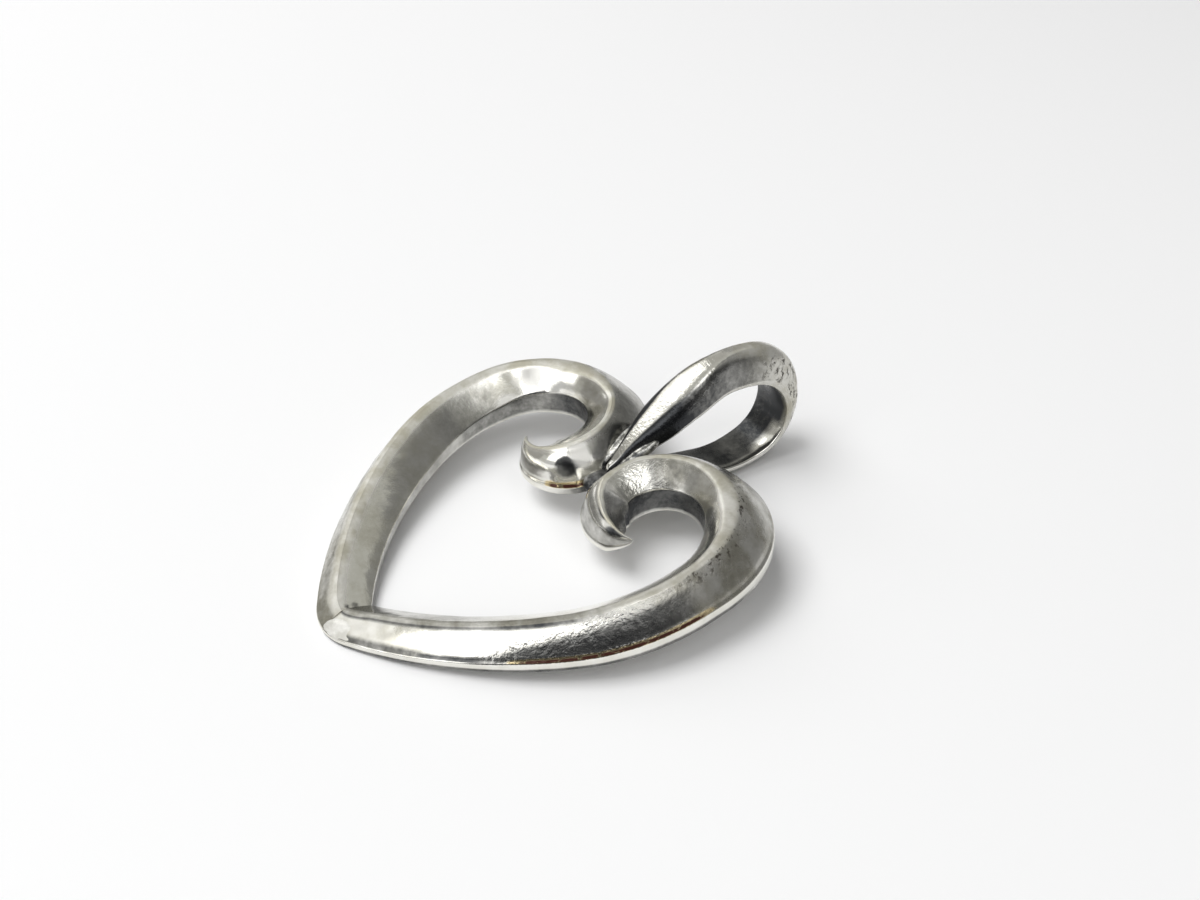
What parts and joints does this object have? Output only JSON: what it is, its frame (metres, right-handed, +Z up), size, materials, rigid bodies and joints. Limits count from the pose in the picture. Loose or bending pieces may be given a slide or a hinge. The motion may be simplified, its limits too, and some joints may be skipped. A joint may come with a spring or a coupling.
{
  "type": "scroll heart pendant",
  "caption": "Open heart pendant made of two tapering scroll arms whose hooked ends curl inwards, with a tall domed bail behind the scrolls for a neck chain.",
  "frame": {"origin": "centre of the footprint of the pendant's bounding box, on the table that it lies on", "axes": "+Y from the heart's tip towards the bail, +Z up from the table on the worked side, +X to the right seen from above with the bail at the top"},
  "size_m": [0.0242, 0.0328, 0.0087],
  "materials": {
    "right_silver": "worn hand-polished silver, grainy in its bright patches, with a matt crest",
    "left_silver": "worn hand-polished silver, duller and mottled",
    "bail_silver": "worn polished silver, pitted and tarnished at the top and inside",
    "tip_solder": "filed silver solder",
    "scroll_solder": "oxidised silver solder",
    "front_solder": "oxidised silver solder",
    "back_solder": "dull silver solder"
  },
  "bodies": {
    "root": {"right_scroll": "right_silver", "left_scroll": "left_silver", "bail": "bail_silver", "tip_solder": "tip_solder", "scroll_solder": "scroll_solder", "bail_front_solder": "front_solder", "bail_back_solder": "back_solder"}
  },
  "joints": []
}
